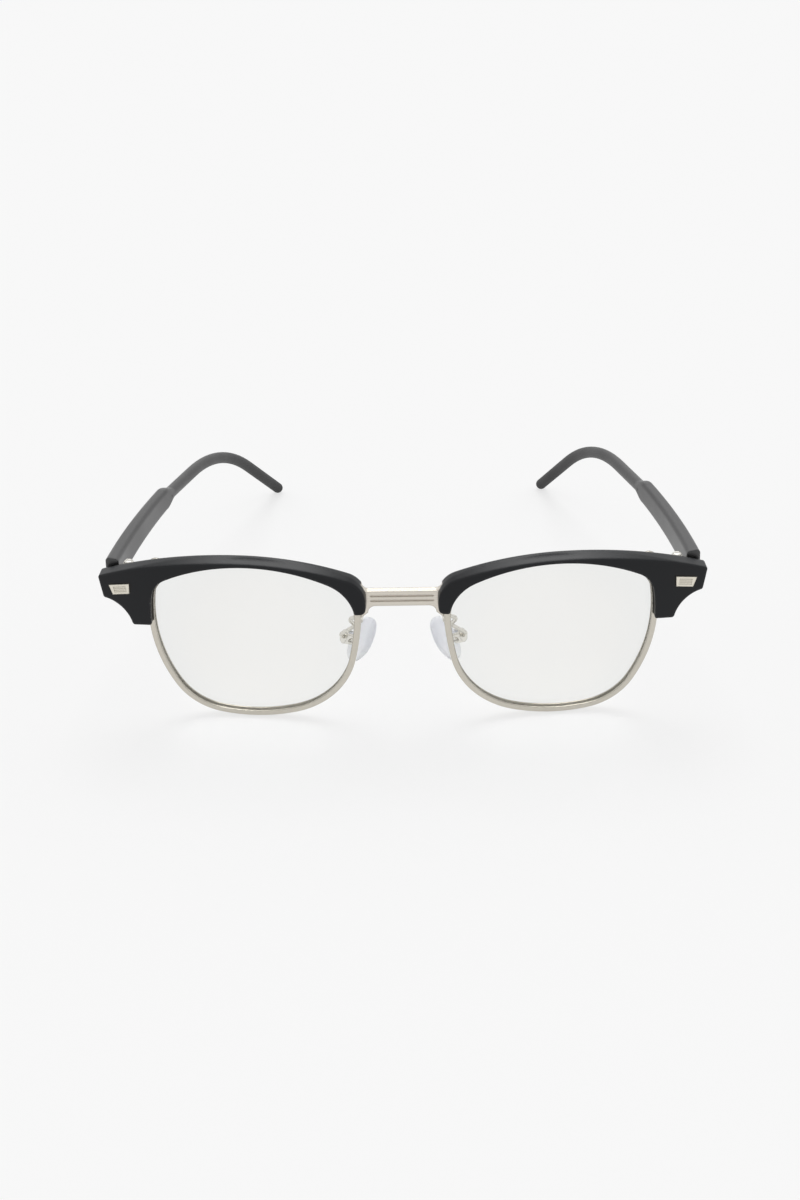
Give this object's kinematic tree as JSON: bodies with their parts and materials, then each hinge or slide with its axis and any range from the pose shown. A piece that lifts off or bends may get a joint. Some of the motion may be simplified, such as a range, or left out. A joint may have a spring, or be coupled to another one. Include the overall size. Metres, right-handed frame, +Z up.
{
  "type": "browline_glasses",
  "caption": "Browline glasses with matte black brow pieces, satin metal eyewires, a fluted metal bridge, clear lenses and pads, and folding temples",
  "frame": {"origin": "bottom centre of the bounding box of the open glasses, standing on the eyewires and the temple tips", "axes": "+X to the wearer left, +Y to the rear along the temples, +Z up"},
  "size_m": [0.1422, 0.1474, 0.0435],
  "materials": {
    "brow_black": "matte black acetate with a soft bevel",
    "temple_black": "matte black acetate",
    "rim_metal": "satin warm silver",
    "insert_silver": "bright ribbed silver",
    "hinge_silver": "polished silver",
    "screw_steel": "polished small screws",
    "core_wire": "plain drawn wire",
    "pad_wire": "bright bent wire",
    "pad_clear": "clear soft silicone",
    "lens_clear": "clear, lightly coated"
  },
  "bodies": {
    "front": {"bridge": "rim_metal", "lens_left": "lens_clear", "lens_right": "lens_clear", "eyewire_left": "rim_metal", "eyewire_right": "rim_metal", "rim_lock_upper_left": "rim_metal", "rim_lock_upper_right": "rim_metal", "rim_lock_lower_left": "rim_metal", "rim_lock_lower_right": "rim_metal", "rim_lock_screw_left": "screw_steel", "rim_lock_screw_right": "screw_steel", "brow_left": "brow_black", "brow_right": "brow_black", "brow_insert_left": "insert_silver", "brow_insert_right": "insert_silver", "brow_tab_left": "rim_metal", "brow_tab_right": "rim_metal", "brow_screw_left": "screw_steel", "brow_screw_right": "screw_steel", "front_hinge_left": "hinge_silver", "front_hinge_right": "hinge_silver", "hinge_screw_left": "screw_steel", "hinge_screw_right": "screw_steel", "pad_arm_left": "pad_wire", "pad_arm_right": "pad_wire", "pad_box_left": "pad_wire", "pad_box_right": "pad_wire", "pad_screw_left": "screw_steel", "pad_screw_right": "screw_steel"},
    "temple_left": {"temple_left": "temple_black", "temple_hinge_left": "hinge_silver", "temple_core_left": "core_wire"},
    "pad_left": {"nose_pad_left": "pad_clear"},
    "temple_right": {"temple_right": "temple_black", "temple_hinge_right": "hinge_silver", "temple_core_right": "core_wire"},
    "pad_right": {"nose_pad_right": "pad_clear"}
  },
  "joints": [
    {"name": "left_temple_fold", "type": "hinge", "parent": "front", "child": "temple_left", "pos_m": [0.06444, -0.06045, 0.03529], "axis": [0, 0, 1], "range_deg": [-4, 80]},
    {"name": "right_temple_fold", "type": "hinge", "parent": "front", "child": "temple_right", "pos_m": [-0.06444, -0.06045, 0.03529], "axis": [0, 0, -1], "range_deg": [-4, 72]},
    {"name": "left_pad_rock", "type": "hinge", "parent": "front", "child": "pad_left", "pos_m": [0.01296, -0.06245, 0.01865], "axis": [-0.3766, -0.9063, -0.1919], "range_deg": [-10, 10]},
    {"name": "right_pad_rock", "type": "hinge", "parent": "front", "child": "pad_right", "pos_m": [-0.01296, -0.06245, 0.01865], "axis": [-0.3766, 0.9063, 0.1919], "range_deg": [-10, 10]}
  ]
}
